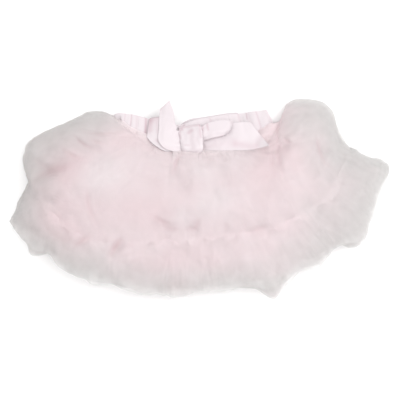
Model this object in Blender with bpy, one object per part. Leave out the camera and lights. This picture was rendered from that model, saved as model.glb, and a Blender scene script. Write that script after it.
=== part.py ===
"""A child's tulle skirt laid flat on its back: a satin waistband with a ribbon
bow, a full upper tier, and round its lower edge a gathered ruffle of two
layers in front and one behind.

The skirt lies on z = 0 with its waist towards +Y and its hem towards -Y, and
the origin is under the middle of its outline. Every size and table below is
in millimetres. A point of a tulle panel is named by u, from the left side
fold (0) to the right one (1), and v, from the waist seam (0) to the hem (1).
"""

import bpy
import numpy as np

MM = 0.001

# Cloth
TULLE = 1.5  # a panel's layers of net, which move as one
SATIN = 2.0  # the waistband, with its elastic
RIBBON = 1.2
GAP = 0.3  # between two pieces at a seam

# Panels
WAVES = 28  # of each ruffle, from side fold to side fold
COLUMNS = 4 * WAVES
UPPER_ROWS = 10
RUFFLE_ROWS = 5
SIDE_REACH = 0.42  # share of u over which a side fold's bow dies away
WAIST_REACH = 0.24  # the same, at the waist seam

# The waist: the seam where the tulle is gathered on, and the band's free edge.
WAIST = [
    # u, seam_x, seam_y, edge_x, edge_y, edge_z
    (0.00, -107, 108, -109, 118, 9),
    (0.04, -103, 101, -101, 117, 10),
    (0.10, -90, 94, -89, 115, 12),
    (0.18, -71, 85, -71, 110, 14),
    (0.29, -49, 74, -52, 106, 15),
    (0.41, -25, 66, -29, 101, 15),
    (0.53, 0, 65, -8, 107, 16),
    (0.64, 25, 69, 13, 111, 16),
    (0.76, 48, 75, 38, 115, 15),
    (0.86, 69, 81, 60, 117, 13),
    (0.91, 79, 83, 70, 119, 12),
    (0.95, 89, 89, 79, 120, 11),
    (0.98, 96, 97, 85, 121, 10),
    (1.00, 98, 104, 88, 122, 9),
]

# The two side folds, from the waist seam to the hem.
LEFT_FOLD = [
    # v, x, y
    (0.00, -107, 108),
    (0.07, -123, 117),
    (0.14, -141, 121),
    (0.22, -162, 116),
    (0.32, -188, 102),
    (0.40, -210, 93),
    (0.48, -232, 81),
    (0.54, -239, 64),
    (0.60, -241, 47),
    (0.66, -235, 29),
    (0.78, -244, 5),
    (0.90, -252, -14),
    (1.00, -258, -30),
]
RIGHT_FOLD = [
    # v, x, y
    (0.00, 98, 104),
    (0.05, 107, 112),
    (0.12, 115, 127),
    (0.20, 130, 137),
    (0.28, 151, 137),
    (0.36, 170, 130),
    (0.43, 183, 116),
    (0.49, 188, 98),
    (0.54, 195, 83),
    (0.60, 207, 72),
    (0.72, 227, 60),
    (0.85, 247, 55),
    (0.94, 257, 47),
    (1.00, 256, 36),
]

# The hem's line, without its lobes.
HEM = [
    # u, x, y
    (0.00, -258, -30),
    (0.06, -236, -58),
    (0.12, -207, -81),
    (0.20, -166, -103),
    (0.28, -118, -117),
    (0.35, -74, -126),
    (0.42, -29, -129),
    (0.49, 14, -126),
    (0.56, 55, -121),
    (0.64, 104, -113),
    (0.73, 158, -92),
    (0.80, 196, -68),
    (0.85, 220, -51),
    (0.90, 233, -26),
    (0.95, 241, 4),
    (1.00, 256, 36),
]

# How far each ruffle's edge reaches past that line: a row for each lobe or
# notch.
REACH = [
    # u, front, under, back
    (0.000, 0, 0, 0),
    (0.035, -5, -2, 0),
    (0.062, -6, -3, 0),
    (0.085, -2, 6, 8),
    (0.100, -5, -1, 2),
    (0.118, -10, -9, -10),
    (0.150, -5, -1, -6),
    (0.180, -5, -1, 1),
    (0.215, -2, 1, 0),
    (0.240, -2, 2, -5),
    (0.290, -6, -2, -1),
    (0.340, -2, 2, -7),
    (0.385, -5, 0, -2),
    (0.425, -2, 2, -7),
    (0.465, -6, -4, -9),
    (0.510, -4, -2, -8),
    (0.560, -6, -3, -2),
    (0.595, -2, 2, 4),
    (0.623, 3, 17, 20),
    (0.660, -3, 3, 1),
    (0.700, -9, -6, -8),
    (0.740, -5, -1, -5),
    (0.765, -10, -8, -9),
    (0.790, -12, -10, -10),
    (0.825, -3, 4, 6),
    (0.860, -3, 2, -2),
    (0.890, -7, -3, -4),
    (0.930, -3, 0, -4),
    (0.970, -3, -1, -2),
    (1.000, 0, 0, 0),
]

# Where the ruffle is sewn under the upper tier.
TIER_SEAM = [
    # u, v
    (0.00, 0.64),
    (0.07, 0.67),
    (0.15, 0.72),
    (0.23, 0.73),
    (0.35, 0.63),
    (0.50, 0.59),
    (0.66, 0.61),
    (0.78, 0.62),
    (0.90, 0.59),
    (1.00, 0.60),
]

# The front's cross-section from side fold to side fold.
ARCH = [
    # u, share of the height
    (0.00, 0.00),
    (0.01, 0.20),
    (0.03, 0.43),
    (0.07, 0.66),
    (0.13, 0.84),
    (0.22, 0.96),
    (0.35, 1.00),
    (0.50, 0.98),
    (0.65, 1.00),
    (0.78, 0.97),
    (0.87, 0.86),
    (0.93, 0.68),
    (0.97, 0.44),
    (0.99, 0.20),
    (1.00, 0.00),
]

# The front's height down each tier, and how deep its gathers are there.
UPPER_LOFT = [
    # share of the tier, height, gather as a share of it
    (0.00, 27, 0.05),
    (0.07, 34, 0.05),
    (0.16, 42, 0.04),
    (0.30, 49, 0.03),
    (0.50, 53, 0.02),
    (0.72, 54, 0.02),
    (0.88, 51, 0.03),
    (1.00, 47, 0.04),
]
RUFFLE_LOFT = [
    # share of the ruffle, height, gather as a share of it
    (0.00, 47, 0.04),
    (0.15, 48, 0.05),
    (0.35, 46, 0.07),
    (0.60, 41, 0.11),
    (0.80, 35, 0.16),
    (1.00, 27, 0.24),
]

# The largest soft swellings (+) and hollows (-) of the front.
PUFFS = [
    # x, y, half_length, half_width, turn in degrees, share of the height
    (-128, 28, 36, 24, 25, 0.12),
    (-140, 100, 30, 14, 165, 0.14),
    (-190, 70, 22, 14, 150, 0.10),
    (-198, 42, 28, 9, 25, -0.26),
    (-150, 72, 30, 7, 155, -0.14),
    (-33, 44, 18, 7, 95, -0.10),
    (-6, 20, 24, 16, 90, 0.06),
    (34, -4, 32, 22, 10, 0.10),
    (104, 58, 34, 8, 70, -0.18),
    (76, 70, 30, 13, 15, -0.20),
    (136, 20, 32, 22, 60, 0.11),
    (150, 112, 28, 18, 20, 0.20),
    (160, 62, 22, 8, 55, -0.16),
    (-159, -54, 16, 8, 30, -0.12),
    (-112, -64, 14, 7, 52, -0.16),
    (-48, -34, 16, 7, 170, -0.12),
    (-8, -36, 10, 8, 60, -0.10),
    (35, -42, 8, 8, 0, -0.08),
    (78, -42, 12, 7, 10, -0.10),
    (60, -84, 26, 14, 100, 0.08),
    (-70, -86, 28, 14, 80, 0.08),
    (196, 6, 26, 14, 20, 0.08),
]

# The back's own gathers, which stand up from the floor.
BACK_GATHERS = [
    # v, height
    (0.00, 1.6),
    (0.06, 1.0),
    (0.12, 0.0),
    (0.30, 0.0),
    (0.56, 0.0),
    (0.68, 1.0),
    (0.85, 3.0),
    (1.00, 4.5),
    (1.15, 5.0),
]

# The bow's flat ends and loops. Each row is one cross-line of the ribbon, and
# lift is its height over the waistband's face.
LEFT_TAIL = [
    # x1, y1, x2, y2, lift
    (-18, 73, -17, 88, 6.2),
    (-29, 70, -27, 91, 6.6),
    (-37, 65, -32, 94, 8.0),
    (-46, 68, -31, 97, 9.4),
    (-55, 78, -33, 102, 10.2),
    (-55, 97, -34, 109, 9.8),
    (-55, 112, -36, 120, 8.6),
    (-54, 122, -41, 134, 7.5),
]
RIGHT_TAIL = [
    # x1, y1, x2, y2, lift
    (-4, 69, -4, 92, 0.9),
    (8, 67, 8, 98, 1.8),
    (28, 66, 28, 102, 3.8),
    (46, 66, 46, 104, 4.8),
    (69, 67, 60, 105, 4.8),
    (92, 72, 68, 104, 5.6),
]
LEFT_LOOP = [
    # x1, y1, x2, y2, lift
    (-14, 73, -14, 90, 0.8),
    (-28, 70, -28, 95, 1.2),
    (-42, 64, -42, 106, 3.4),
    (-55, 69, -56, 112, 3.2),
    (-66, 77, -65, 111, 3.6),
    (-71, 84, -68, 110, 4.9),
    (-67, 79, -65, 110, 6.4),
    (-56, 70, -56, 111, 7.2),
    (-43, 65, -42, 105, 6.4),
    (-29, 71, -28, 94, 4.2),
    (-14, 75, -14, 90, 3.5),
]
RIGHT_LOOP = [
    # x1, y1, x2, y2, lift
    (-4, 76, -4, 92, 2.5),
    (8, 80, 8, 102, 3.4),
    (21, 83, 21, 105, 5.4),
    (33, 86, 33, 106, 6.6),
    (40, 91, 41, 106, 8.4),
    (45, 96, 44, 105, 10.8),
    (40, 90, 41, 106, 13.0),
    (33, 86, 33, 107, 14.0),
    (21, 84, 21, 106, 12.4),
    (8, 81, 8, 102, 8.2),
    (-4, 77, -4, 93, 6.2),
]
KNOT = [
    # x1, y1, x2, y2, lift
    (-23, 65, 1, 63, 3.2),
    (-25, 66, 3, 65, 7.2),
    (-27, 69, 4, 68, 10.0),
    (-28, 76, 4, 75, 10.8),
    (-29, 84, 4, 84, 10.8),
    (-29, 91, 3, 93, 10.4),
    (-29, 96, 1, 99, 8.4),
    (-27, 99, -1, 102, 1.9),
]
KNOT_PLEAT = 0.7
BOW_COLUMNS = 6

# Waistband
BAND_COLUMNS = COLUMNS // 2  # a ridge and a valley for each of its gathers
BAND_PROFILE = [
    # share from the seam to the free edge, swell of the outer face, gather
    (0.00, 0.0, 0.3),
    (0.14, 0.7, 0.6),
    (0.50, 1.0, 0.9),
    (0.84, 0.7, 0.6),
    (1.00, 0.0, 0.3),
]
BAND_SIDE = 7.0  # the flattened band's height where it turns at each side

# Colours (linear) and roughness
MATERIALS = {
    "tulle_upper": ((0.86, 0.72, 0.75, 1), 0.85),
    "tulle_ruffle": ((0.80, 0.68, 0.70, 1), 0.85),
    "tulle_under": ((0.70, 0.62, 0.64, 1), 0.85),
    "satin": ((0.92, 0.79, 0.83, 1), 0.35),
}


def curve(rows, at):
    """The smooth curve through rows whose first column says where each lies."""
    rows = np.asarray(rows, float)
    knots, values = rows[:, 0], rows[:, 1:]
    slopes = np.gradient(values, knots, axis=0)
    at = np.clip(at, knots[0], knots[-1])
    i = np.clip(np.searchsorted(knots, at, side="right") - 1, 0, len(knots) - 2)
    step = (knots[i + 1] - knots[i])[..., None]
    s = (at - knots[i])[..., None] / step
    return (
        (1 + 2 * s) * (1 - s) ** 2 * values[i]
        + s * (1 - s) ** 2 * step * slopes[i]
        + s**2 * (3 - 2 * s) * values[i + 1]
        + s**2 * (s - 1) * step * slopes[i + 1]
    )


def ease(x):
    x = np.clip(x, 0, 1)
    return x * x * (3 - 2 * x)


def spread(w):
    """u of the share w of a ruffle's length: its gathers are not all alike."""
    return (
        w
        + 0.0125 * (np.sin(6 * np.pi * w + 1.0) - np.sin(1.0))
        + 0.0080 * (np.sin(16 * np.pi * w + 2.0) - np.sin(2.0))
    )


def wave(w, count, phase=0.0):
    """A gather's height from -1 to 1, every one a little different."""
    size = 0.55 + 0.30 * np.sin(10 * np.pi * w + phase) + 0.15 * np.sin(
        18 * np.pi * w + 0.6 + 2 * phase
    )
    broad = 0.25 * np.cos(2 * np.pi * round(count * 0.39) * w + 1.7 + phase)
    return size * np.cos(2 * np.pi * count * w + phase) + broad


def plan(u, v):
    """x and y of a panel's point: between the waist seam and the hem's line,
    bowed at the sides to the two side folds."""
    u, v = np.broadcast_arrays(u, v)
    seam, hem = curve(WAIST, u)[..., :2], curve(HEM, u)
    left, right = curve(LEFT_FOLD, v), curve(RIGHT_FOLD, v)
    down = v[..., None]
    along = np.clip(down, 0, 1)
    left_bow = left - (1 - along) * curve(LEFT_FOLD, 0.0) - along * curve(
        LEFT_FOLD, 1.0
    )
    right_bow = right - (1 - along) * curve(RIGHT_FOLD, 0.0) - along * curve(
        RIGHT_FOLD, 1.0
    )
    reach = WAIST_REACH + (SIDE_REACH - WAIST_REACH) * ease(v / 0.5)
    return (
        (1 - down) * seam
        + down * hem
        + ease(1 - u / reach)[..., None] * left_bow
        + ease(1 - (1 - u) / reach)[..., None] * right_bow
    )


def seam_v(u):
    return curve(TIER_SEAM, u)[..., 0]


def hem_v(u, layer):
    """v of a ruffle's edge, from how far it reaches past the hem's line."""
    reach = curve(REACH, u)[..., ("front", "under", "back").index(layer)]
    length = np.linalg.norm(plan(u, np.ones_like(u)) - plan(u, 0.9 * np.ones_like(u)), axis=-1) * 10
    return 1 + reach / length


def puffs(xy):
    """The sum of the swellings and hollows at each point, as a share."""
    total = np.zeros(xy.shape[:-1])
    for x, y, half_length, half_width, turn, share in PUFFS:
        c, s = np.cos(np.radians(turn)), np.sin(np.radians(turn))
        dx, dy = xy[..., 0] - x, xy[..., 1] - y
        a, b = (c * dx + s * dy) / half_length, (c * dy - s * dx) / half_width
        total += share * np.exp(-(a**2 + b**2))
    return total


def back_bottom(w, u, v):
    """The back lies on the floor but for its gathers, which end at the sides."""
    fade = ease(u / 0.06) * ease((1 - u) / 0.06)
    height = np.maximum(curve(BACK_GATHERS, v)[..., 0], 0.0)
    return height * fade * np.maximum(wave(w, WAVES / 2, 0.9), 0.0)


def wall_depth(xy, z, wall):
    """A wall's upright depth: more where it is steep, so that it keeps its
    thickness there, and plain along the side folds."""
    points = np.concatenate([xy, z[..., None]], axis=-1)
    normal = np.cross(np.gradient(points, axis=0), np.gradient(points, axis=1))
    level = np.abs(normal[..., 2]) / np.linalg.norm(normal, axis=-1)
    depth = wall / np.maximum(level, 0.55)
    depth[:, [0, -1]] = wall
    return depth


def upper_grid(columns, rows):
    w = np.linspace(0, 1, columns + 1)[None, :]
    share = np.linspace(0, 1, rows + 1)[:, None]
    w, share = np.broadcast_arrays(w, share)
    u = spread(w)
    return w, share, u, share * seam_v(u)


def ruffle_grid(columns, rows, layer, lap=2 * GAP / 200):
    w = np.linspace(0, 1, columns + 1)[None, :]
    share = np.linspace(0, 1, rows + 1)[:, None]
    w, share = np.broadcast_arrays(w, share)
    u = spread(w)
    start = seam_v(u) + lap
    return w, share, u, start + share * (hem_v(u, layer) - start)


def rise(loft, w, u, share, xy, count):
    """The front's height over the pile of layers at the side folds."""
    height, gather = np.moveaxis(curve(loft, share), -1, 0)
    arch = curve(ARCH, u)[..., 0]
    return height * arch * (1 + puffs(xy)) * (1 + gather * wave(w, count))


def upper_front_top(w, u, share, v):
    pile = 2 * TULLE + GAP + (TULLE + GAP) * share
    return (
        back_bottom(w, u, v) + pile + rise(UPPER_LOFT, w, u, share, plan(u, v), WAVES / 2)
    )


def ruffle_front(w, u, share, v):
    """Top and bottom of the front ruffle."""
    xy = plan(u, v)
    top = back_bottom(w, u, v) + 3 * TULLE + 2 * GAP + rise(RUFFLE_LOFT, w, u, share, xy, WAVES)
    return top, top - wall_depth(xy, top, TULLE)


def material(name):
    found = bpy.data.materials.get(name)
    if found:
        return found
    colour, roughness = MATERIALS[name]
    made = bpy.data.materials.new(name)
    made.use_nodes = True
    shader = made.node_tree.nodes["Principled BSDF"]
    shader.inputs["Base Color"].default_value = colour
    shader.inputs["Roughness"].default_value = roughness
    shader.inputs["Metallic"].default_value = 0.0
    made.diffuse_color = colour
    return made


def add(name, points, faces, cloth, parent):
    mesh = bpy.data.meshes.new(name)
    mesh.from_pydata((points * MM).tolist(), [], faces)
    mesh.validate()
    mesh.materials.append(material(cloth))
    mesh.shade_smooth()
    mesh.set_sharp_from_angle(angle=np.radians(50))
    made = bpy.data.objects.new(name, mesh)
    made.parent = parent
    bpy.context.scene.collection.objects.link(made)
    return made


def sheet(name, top, bottom, cloth, parent):
    """A closed wall between two grids of points, rows by columns."""
    rows, columns = top.shape[:2]
    index = np.arange(rows * columns).reshape(rows, columns)
    under = index + rows * columns
    faces = []
    for i in range(rows - 1):
        for j in range(columns - 1):
            a, b, c, d = index[i, j], index[i, j + 1], index[i + 1, j + 1], index[i + 1, j]
            faces += [(a, d, c), (a, c, b)]
            a, b, c, d = under[i, j], under[i, j + 1], under[i + 1, j + 1], under[i + 1, j]
            faces += [(a, c, d), (a, b, c)]
    rim = (
        [index[0, j] for j in range(columns)]
        + [index[i, -1] for i in range(1, rows)]
        + [index[-1, j] for j in range(columns - 2, -1, -1)]
        + [index[i, 0] for i in range(rows - 2, 0, -1)]
    )
    for k, a in enumerate(rim):
        b = rim[(k + 1) % len(rim)]
        c, d = b + rows * columns, a + rows * columns
        faces += [(a, b, c), (a, c, d)]
    points = np.concatenate([top.reshape(-1, 3), bottom.reshape(-1, 3)])
    return add(name, points, [tuple(map(int, f)) for f in faces], cloth, parent)


def panel(name, xy, top, bottom, cloth, parent):
    return sheet(
        name,
        np.concatenate([xy, top[..., None]], axis=-1),
        np.concatenate([xy, bottom[..., None]], axis=-1),
        cloth,
        parent,
    )


def skirt(parent):
    w, share, u, v = upper_grid(COLUMNS // 2, UPPER_ROWS)
    xy, top = plan(u, v), upper_front_top(w, u, share, v)
    panel("skirt_front", xy, top, top - wall_depth(xy, top, TULLE), "tulle_upper", parent)

    w, share, u, v = upper_grid(COLUMNS // 2, UPPER_ROWS)
    bottom = back_bottom(w, u, v)
    panel("skirt_back", plan(u, v), bottom + TULLE, bottom, "tulle_upper", parent)

    w, share, u, v = ruffle_grid(COLUMNS, RUFFLE_ROWS, "front")
    top, bottom = ruffle_front(w, u, share, v)
    panel("ruffle_front", plan(u, v), top, bottom, "tulle_ruffle", parent)

    w, share, u, v = ruffle_grid(COLUMNS, RUFFLE_ROWS, "under")
    xy, floor = plan(u, v), back_bottom(w, u, v) + TULLE
    over = ruffle_front(w, u, share, v)[1]
    room = over - floor - 2 * GAP - TULLE
    drop = 0.10 + share * (0.20 - 0.12 * wave(w, WAVES, 2.4))
    top = over - GAP - drop * np.maximum(room, 0)
    depth = np.minimum(wall_depth(xy, top, TULLE), top - floor - GAP)
    panel("under_ruffle_front", xy, top, top - depth, "tulle_under", parent)

    w, share, u, v = ruffle_grid(COLUMNS, RUFFLE_ROWS, "back")
    bottom = back_bottom(w, u, v)
    panel("ruffle_back", plan(u, v), bottom + TULLE, bottom, "tulle_ruffle", parent)


def band_point(u, share):
    """The outer face of the waistband's front, from its seam (share 0) to its
    free edge (1)."""
    waist = curve(WAIST, u)
    arch = curve(ARCH, u)[..., 0]
    seam_z = BAND_SIDE + (UPPER_LOFT[0][1] + 3.3 - BAND_SIDE) * arch
    edge_z = BAND_SIDE + (waist[..., 4] - BAND_SIDE) * arch**0.5
    share = np.asarray(share, float)[..., None]
    seam = np.concatenate([waist[..., :2], seam_z[..., None]], axis=-1)
    edge = np.concatenate([waist[..., 2:4], edge_z[..., None]], axis=-1)
    width = np.linalg.norm(edge - seam, axis=-1, keepdims=True)
    start = seam + (edge - seam) / width * 2 * GAP
    return start + (edge - start) * share


def waistband(parent):
    """A flattened ring: its front stands up over its back, which lies on the
    floor."""
    w = np.linspace(0, 1, BAND_COLUMNS + 1)
    front, back = spread(w), spread(w)[::-2]
    ridge = (-1.0) ** np.arange(BAND_COLUMNS + 1) * (0.65 + 0.35 * np.sin(8 * np.pi * w + 1))
    side = SATIN / 210
    outer, inner = [], []
    for share, swell, gather in BAND_PROFILE:
        face = band_point(front, np.full_like(front, share))
        face[:, 2] += (swell + gather * ridge) * curve(ARCH, front)[:, 0]
        floor = band_point(back, np.full_like(back, share))
        floor[:, 2] = 0.0
        outer.append(np.concatenate([face, floor]))
    for share in (0.0, 1.0):
        face = band_point(np.clip(front, side, 1 - side), np.full_like(front, share))
        face[:, 2] -= SATIN
        floor = band_point(np.clip(back, side, 1 - side), np.full_like(back, share))
        floor[:, 2] = SATIN
        inner.append(np.concatenate([face, floor]))
    rings = outer + inner[::-1]
    columns = len(rings[0])
    faces = []
    for i in range(len(rings)):
        for j in range(columns):
            a, b = i * columns + j, i * columns + (j + 1) % columns
            k = (i + 1) % len(rings) * columns
            c, d = k + (j + 1) % columns, k + j
            faces += [(a, b, c), (a, c, d)]
    add("waistband", np.concatenate(rings), faces, "satin", parent)


def face_height(xy):
    """The height of the waistband's face, carried on a little past its edges."""
    u = np.interp(xy[..., 0], [r[1] for r in WAIST], [r[0] for r in WAIST])
    waist = curve(WAIST, u)
    share = (xy[..., 1] - waist[..., 1]) / (waist[..., 3] - waist[..., 1])
    seam_z, edge_z = UPPER_LOFT[0][1] + 3.3, waist[..., 4]
    line = seam_z + (edge_z - seam_z) * np.clip(share, -0.6, 1.15)
    swell = 1.6 * np.clip(1 - (2 * share - 1) ** 2, 0, 1)
    return line + swell


def ribbon(name, rows, parent, pleat=0.0):
    """A strip of ribbon through its cross-lines, over the waistband's face."""
    rows = np.asarray(rows, float)
    across = np.linspace(0, 1, BOW_COLUMNS + 1)[None, :, None]
    xy = rows[:, None, 0:2] * (1 - across) + rows[:, None, 2:4] * across
    lift = rows[:, 4][:, None] + pleat * np.cos(np.pi * np.arange(BOW_COLUMNS + 1))[None, :]
    middle = np.concatenate([xy, (face_height(xy) + RIBBON / 2 + lift)[..., None]], axis=-1)
    normal = np.cross(np.gradient(middle, axis=0), np.gradient(middle, axis=1))
    normal /= np.linalg.norm(normal, axis=-1, keepdims=True)
    a, b = middle + normal * RIBBON / 2, middle - normal * RIBBON / 2
    sheet(name, a, b, "satin", parent)


def bow(parent):
    ribbon("bow_tail_left", LEFT_TAIL, parent)
    ribbon("bow_tail_right", RIGHT_TAIL, parent)
    ribbon("bow_loop_left", LEFT_LOOP, parent)
    ribbon("bow_loop_right", RIGHT_LOOP, parent)
    ribbon("bow_knot", KNOT, parent, KNOT_PLEAT)


def main():
    for old in list(bpy.data.objects):
        bpy.data.objects.remove(old, do_unlink=True)
    root = bpy.data.objects.new("tulle_skirt", None)
    bpy.context.scene.collection.objects.link(root)
    skirt(root)
    waistband(root)
    bow(root)


main()
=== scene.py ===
"""A child's tulle skirt laid flat: soft nets, a satin waistband and its ribbon
bow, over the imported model.

Lengths are in millimetres. A point of a net is named by u, from the left side
fold (0) to the right one (1), and v, from the waist seam (0) to the hem (1).
Every net is a tube: its front runs from the left fold to the right one, and
its back returns beneath it.

The first tables, and the functions after them, start from those of the solids.
A few rows, plan and band_heights differ by some millimetres, because the
cloth bends more finely than the solids do.
"""

import bmesh
import bpy
import numpy as np
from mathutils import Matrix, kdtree
from mathutils.bvhtree import BVHTree


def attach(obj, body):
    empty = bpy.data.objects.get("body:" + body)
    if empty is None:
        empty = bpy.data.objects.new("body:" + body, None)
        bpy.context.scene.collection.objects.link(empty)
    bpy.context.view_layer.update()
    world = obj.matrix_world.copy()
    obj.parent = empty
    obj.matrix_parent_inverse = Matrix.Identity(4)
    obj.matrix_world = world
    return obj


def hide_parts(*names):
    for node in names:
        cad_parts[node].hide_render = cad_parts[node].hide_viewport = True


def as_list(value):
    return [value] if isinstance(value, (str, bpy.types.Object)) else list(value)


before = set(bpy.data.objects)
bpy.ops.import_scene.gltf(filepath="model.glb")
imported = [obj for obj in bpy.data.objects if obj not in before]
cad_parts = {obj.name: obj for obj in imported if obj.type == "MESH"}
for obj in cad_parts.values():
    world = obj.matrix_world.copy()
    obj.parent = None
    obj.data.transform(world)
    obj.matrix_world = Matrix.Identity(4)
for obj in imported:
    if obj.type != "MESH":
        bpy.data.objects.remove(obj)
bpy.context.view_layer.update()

MM = 0.001
SATIN = 2  # the waistband's thickness
RIBBON = 1.2  # the thickness of the solids' ribbon
RIBBON_WALL = 0.55  # the thickness of the ribbon that shows
GAP = 0.3  # between pieces at a seam
WAVES = 28  # of a ruffle, from side fold to side fold
SIDE_REACH = 0.42  # how far in u a side fold bends the nets,
WAIST_REACH = 0.24  # and the same at the waist
NOTCH_REACH = 0.13  # and at the notch in the right fold
LENGTH = 200  # of a net, for each unit of v
SEAM_RISE = 3.3  # of the band's seam over the upper tier's first height
BAND_SIDE = 7  # height of the band at its side folds
BAND_LEFT_RISE = 5.5  # how far its left end stands up
BAND_LOWEST = 0.05  # height of its lowest points over the floor
NET_LOWEST = 0.08  # and of the nets'

WAIST = [
    # u, seam_x, seam_y, edge_x, edge_y, edge_z
    (0, -107, 108, -109, 118, 9), (0.04, -103, 101, -101, 117, 10),
    (0.1, -90, 94, -89, 115, 12), (0.18, -71, 85, -71, 110, 14),
    (0.29, -49, 74, -52, 106, 15), (0.41, -25, 66, -29, 101, 15),
    (0.53, 0, 65, -8, 107, 16), (0.64, 25, 69, 13, 111, 16), (0.76, 48, 75, 38, 115, 15),
    (0.86, 69, 81, 60, 117, 13), (0.91, 79, 83, 70, 119, 12), (0.95, 89, 89, 79, 120, 11),
    (0.98, 96, 97, 85, 121, 10), (1, 98, 104, 88, 122, 9),
]
LEFT_FOLD = [
    # v, x, y
    (0, -107, 108), (0.07, -123, 117), (0.14, -141, 121), (0.22, -162, 116),
    (0.32, -188, 102), (0.4, -210, 93), (0.48, -232, 81), (0.54, -239, 64), (0.6, -241, 47),
    (0.66, -235, 29), (0.78, -244, 5), (0.9, -252, -14), (1, -258, -30),
]
RIGHT_FOLD = [
    # v, x, y
    (0, 98, 104), (0.05, 107, 107), (0.12, 115, 127), (0.2, 130, 137), (0.28, 151, 137),
    (0.36, 170, 130), (0.43, 183, 116), (0.49, 188, 98), (0.54, 195, 83), (0.6, 207, 72),
    (0.72, 227, 60), (0.85, 247, 55), (0.94, 257, 47), (1, 256, 36),
]
HEM = [
    # u, x, y
    (0, -258, -30), (0.06, -236, -58), (0.12, -207, -81), (0.2, -166, -103),
    (0.28, -118, -117), (0.35, -74, -126), (0.42, -29, -129), (0.49, 14, -126),
    (0.56, 55, -121), (0.64, 104, -113), (0.73, 158, -92), (0.8, 196, -68),
    (0.85, 220, -51), (0.9, 233, -26), (0.95, 241, 4), (1, 256, 36),
]
REACH = [
    # u, front, under, back
    (0, 0, 0, 0), (0.035, -5, -2, 0), (0.062, -6, -3, 0), (0.085, -2, 6, 8),
    (0.1, -5, -1, 2), (0.118, -10, -9, -10), (0.15, -5, -1, -6), (0.18, -5, -1, 1),
    (0.215, -2, 1, 0), (0.24, -2, 2, -5), (0.29, -6, -2, -1), (0.34, -2, 2, -7),
    (0.385, -5, 0, -2), (0.425, -2, 2, -7), (0.465, -6, -4, -9), (0.51, -4, -2, -8),
    (0.56, -6, -3, -2), (0.595, -2, 2, 4), (0.623, 3, 17, 20), (0.66, -3, 3, 1),
    (0.7, -9, -6, -8), (0.74, -5, -1, -5), (0.765, -10, -8, -9), (0.79, -12, -10, -10),
    (0.825, -3, 4, 6), (0.86, -3, 2, -2), (0.89, -7, -3, -4), (0.93, -3, 0, -4),
    (0.97, -3, -1, -2), (1, 0, 0, 0),
]
TIER_SEAM = [
    # u, v
    (0, 0.64), (0.07, 0.67), (0.15, 0.72), (0.23, 0.73), (0.35, 0.63), (0.5, 0.59),
    (0.66, 0.61), (0.78, 0.62), (0.9, 0.59), (1, 0.6),
]
ARCH = [
    # u, share of the height
    (0, 0), (0.01, 0.2), (0.03, 0.43), (0.07, 0.66), (0.13, 0.84), (0.22, 0.96), (0.35, 1),
    (0.5, 0.98), (0.65, 1), (0.78, 0.97), (0.87, 0.86), (0.93, 0.68), (0.97, 0.44),
    (0.99, 0.2), (1, 0),
]
UPPER_LOFT = [
    # share of the tier, height, gather as a share of it
    (0, 27, 0.05), (0.07, 34, 0.05), (0.16, 42, 0.04), (0.3, 49, 0.03), (0.5, 53, 0.02),
    (0.72, 54, 0.02), (0.88, 51, 0.03), (1, 47, 0.04),
]
RUFFLE_LOFT = [
    # share of the ruffle, height, gather as a share of it
    (0, 47, 0.04), (0.15, 48, 0.05), (0.35, 46, 0.07), (0.6, 41, 0.11), (0.8, 35, 0.16),
    (1, 27, 0.24),
]
PUFFS = [
    # x, y, half_length, half_width, turn in degrees, share of the height
    (-128, 28, 36, 24, 25, 0.12), (-140, 100, 30, 14, 165, 0.14),
    (-190, 70, 22, 14, 150, 0.1), (-198, 42, 28, 9, 25, -0.26),
    (-150, 72, 30, 7, 155, -0.14), (-33, 44, 18, 7, 95, -0.1), (-6, 20, 24, 16, 90, 0.06),
    (34, -4, 32, 22, 10, 0.13), (104, 58, 34, 8, 70, -0.18), (76, 70, 30, 13, 15, -0.2),
    (136, 20, 32, 22, 60, 0.11), (150, 112, 28, 18, 20, 0.2), (160, 62, 22, 8, 55, -0.16),
    (-159, -54, 16, 8, 30, -0.12), (-112, -64, 14, 7, 52, -0.16),
    (-48, -34, 16, 7, 170, -0.12), (-8, -36, 10, 8, 60, -0.1), (35, -42, 8, 8, 0, -0.08),
    (78, -42, 12, 7, 10, -0.1), (60, -84, 26, 14, 100, 0.08), (-70, -86, 28, 14, 80, 0.08),
    (196, 6, 26, 14, 20, 0.08),
]
BACK_GATHERS = [
    # v, height
    (0, 1.6), (0.06, 1), (0.12, 0), (0.3, 0), (0.56, 0), (0.68, 1), (0.85, 3), (1, 4.5),
    (1.15, 5),
]

# Cross-lines of the ribbons: x1, y1, x2, y2, lift
LEFT_TAIL = [
    (-18, 66.5, -17, 89, 6.2), (-29, 65.2, -27, 92, 7.8), (-37, 65, -32, 94, 8.8),
    (-46, 68, -31, 97, 9.6), (-55, 78, -33, 102, 10.2), (-55, 97, -34, 109, 9.8),
    (-55, 112, -36, 120, 8.6), (-54, 122, -41, 134, 7.5),
]
RIGHT_TAIL = [
    (-4, 69, -4, 92, 0.9), (8, 67, 8, 98, 1.8), (28, 66, 28, 102, 3.8),
    (46, 66, 46, 104, 4.8), (69, 67, 60, 105, 4.8), (92, 72, 68, 104, 5.6),
]
LEFT_LOOP = [
    (-14, 73, -14, 90, 0.8), (-28, 70, -28, 95, 1.2), (-42, 64, -42, 106, 3.4),
    (-55, 69, -56, 112, 2.4), (-66, 77, -65, 111, 1.7), (-71, 84, -68, 110, 2.5),
    (-67, 79, -65, 110, 4.9), (-56, 70, -56, 111, 6.6), (-43, 65, -42, 105, 6.4),
    (-29, 71, -28, 94, 4.2), (-14, 75, -14, 90, 3.5),
]
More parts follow.
